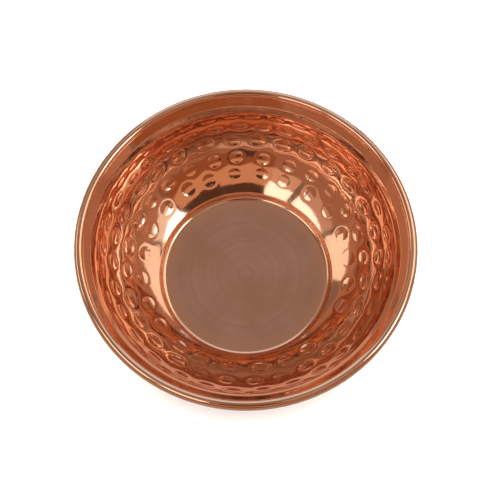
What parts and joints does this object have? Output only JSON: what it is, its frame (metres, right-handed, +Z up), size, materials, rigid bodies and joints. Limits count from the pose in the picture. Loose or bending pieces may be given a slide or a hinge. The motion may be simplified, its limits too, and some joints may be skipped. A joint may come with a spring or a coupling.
{
  "type": "hammered copper bowl",
  "caption": "Shallow round copper bowl with a wired, rolled rim, a hammered wall and a flat satin floor in a soldered base pan.",
  "frame": {"origin": "centre of the flat underside of the base, on the surface the bowl stands on", "axes": "+Z up along the bowl's axis, out of its mouth; the bowl is round, so +X and +Y are any two level directions"},
  "size_m": [0.15, 0.15, 0.05],
  "materials": {
    "polished_copper": "mirror-polished copper with hammered marks",
    "satin_copper": "satin copper with faint turned rings",
    "steel_wire": "galvanised wire, hidden in the rim",
    "solder": "dull tin solder"
  },
  "bodies": {
    "root": {"hammered_wall": "polished_copper", "rim_wire": "steel_wire", "base_pan": "satin_copper", "base_solder": "solder"}
  },
  "joints": []
}
